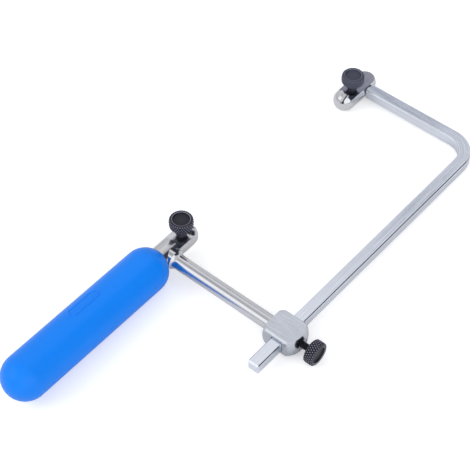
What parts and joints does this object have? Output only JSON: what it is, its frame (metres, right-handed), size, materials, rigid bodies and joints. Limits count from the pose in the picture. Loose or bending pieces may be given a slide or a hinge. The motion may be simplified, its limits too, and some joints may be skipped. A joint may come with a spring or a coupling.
{
  "type": "fret saw frame",
  "caption": "Adjustable fret saw frame with a moulded grip, a bent bar that slides in a ball block, and knurled thumb screws for the blade clamps and the lock.",
  "frame": {"origin": "middle of the grip, on its axis", "axes": "+Y along the blade line from the grip to the far clamp, +X across the throat to the back of the frame, +Z out of the frame's plane"},
  "size_m": [0.1163, 0.2987, 0.0292],
  "materials": {
    "grip_plastic": "satin moulded blue plastic",
    "polished_steel": "polished chrome plate",
    "satin_nickel": "satin nickel plate",
    "black_oxide": "black oxide, knurled",
    "pad_brass": "plain turned brass"
  },
  "bodies": {
    "handle_side": {"handle_grip": "grip_plastic", "lower_post": "polished_steel", "arm_rod": "polished_steel", "slider_block": "satin_nickel"},
    "bow": {"frame_bar": "satin_nickel", "upper_post": "polished_steel"},
    "lower_collar": {"lower_clamp_collar": "black_oxide"},
    "lower_screw": {"lower_clamp_screw": "black_oxide"},
    "upper_collar": {"upper_clamp_collar": "black_oxide"},
    "upper_screw": {"upper_clamp_screw": "black_oxide"},
    "pad": {"lock_pad": "pad_brass"},
    "lock": {"lock_screw": "black_oxide"}
  },
  "joints": [
    {"name": "bow_slide", "type": "slide", "parent": "handle_side", "child": "bow", "axis": [0, 1, 0], "range_m": [-0.12, 0.017]},
    {"name": "lower_clamp_travel", "type": "slide", "parent": "handle_side", "child": "lower_collar", "axis": [0, 0, 1], "range_m": [-0.00198, 0.0042]},
    {"name": "lower_clamp_turn", "type": "hinge", "parent": "lower_collar", "child": "lower_screw", "pos_m": [0, 0.0732, 0.011], "axis": [0, 0, 1], "range_deg": [-1018.3, 2160.1]},
    {"name": "upper_clamp_travel", "type": "slide", "parent": "bow", "child": "upper_collar", "axis": [0, 0, 1], "range_m": [-0.00198, 0.005]},
    {"name": "upper_clamp_turn", "type": "hinge", "parent": "upper_collar", "child": "upper_screw", "pos_m": [0.0016, 0.2225, 0.0094], "axis": [0, 0, 1], "range_deg": [-1018.3, 2571.5]},
    {"name": "lock_travel", "type": "slide", "parent": "handle_side", "child": "pad", "axis": [1, 0, 0], "range_m": [0, 0.0028]},
    {"name": "lock_turn", "type": "hinge", "parent": "pad", "child": "lock", "pos_m": [0.0981, 0.0603, 0], "axis": [1, 0, 0], "range_deg": [0, 1440.1]}
  ],
  "couplings": [
    {"joint": "lower_clamp_turn", "follows": "lower_clamp_travel", "rad_per_m": 8976},
    {"joint": "upper_clamp_turn", "follows": "upper_clamp_travel", "rad_per_m": 8976},
    {"joint": "lock_turn", "follows": "lock_travel", "rad_per_m": 8976}
  ]
}
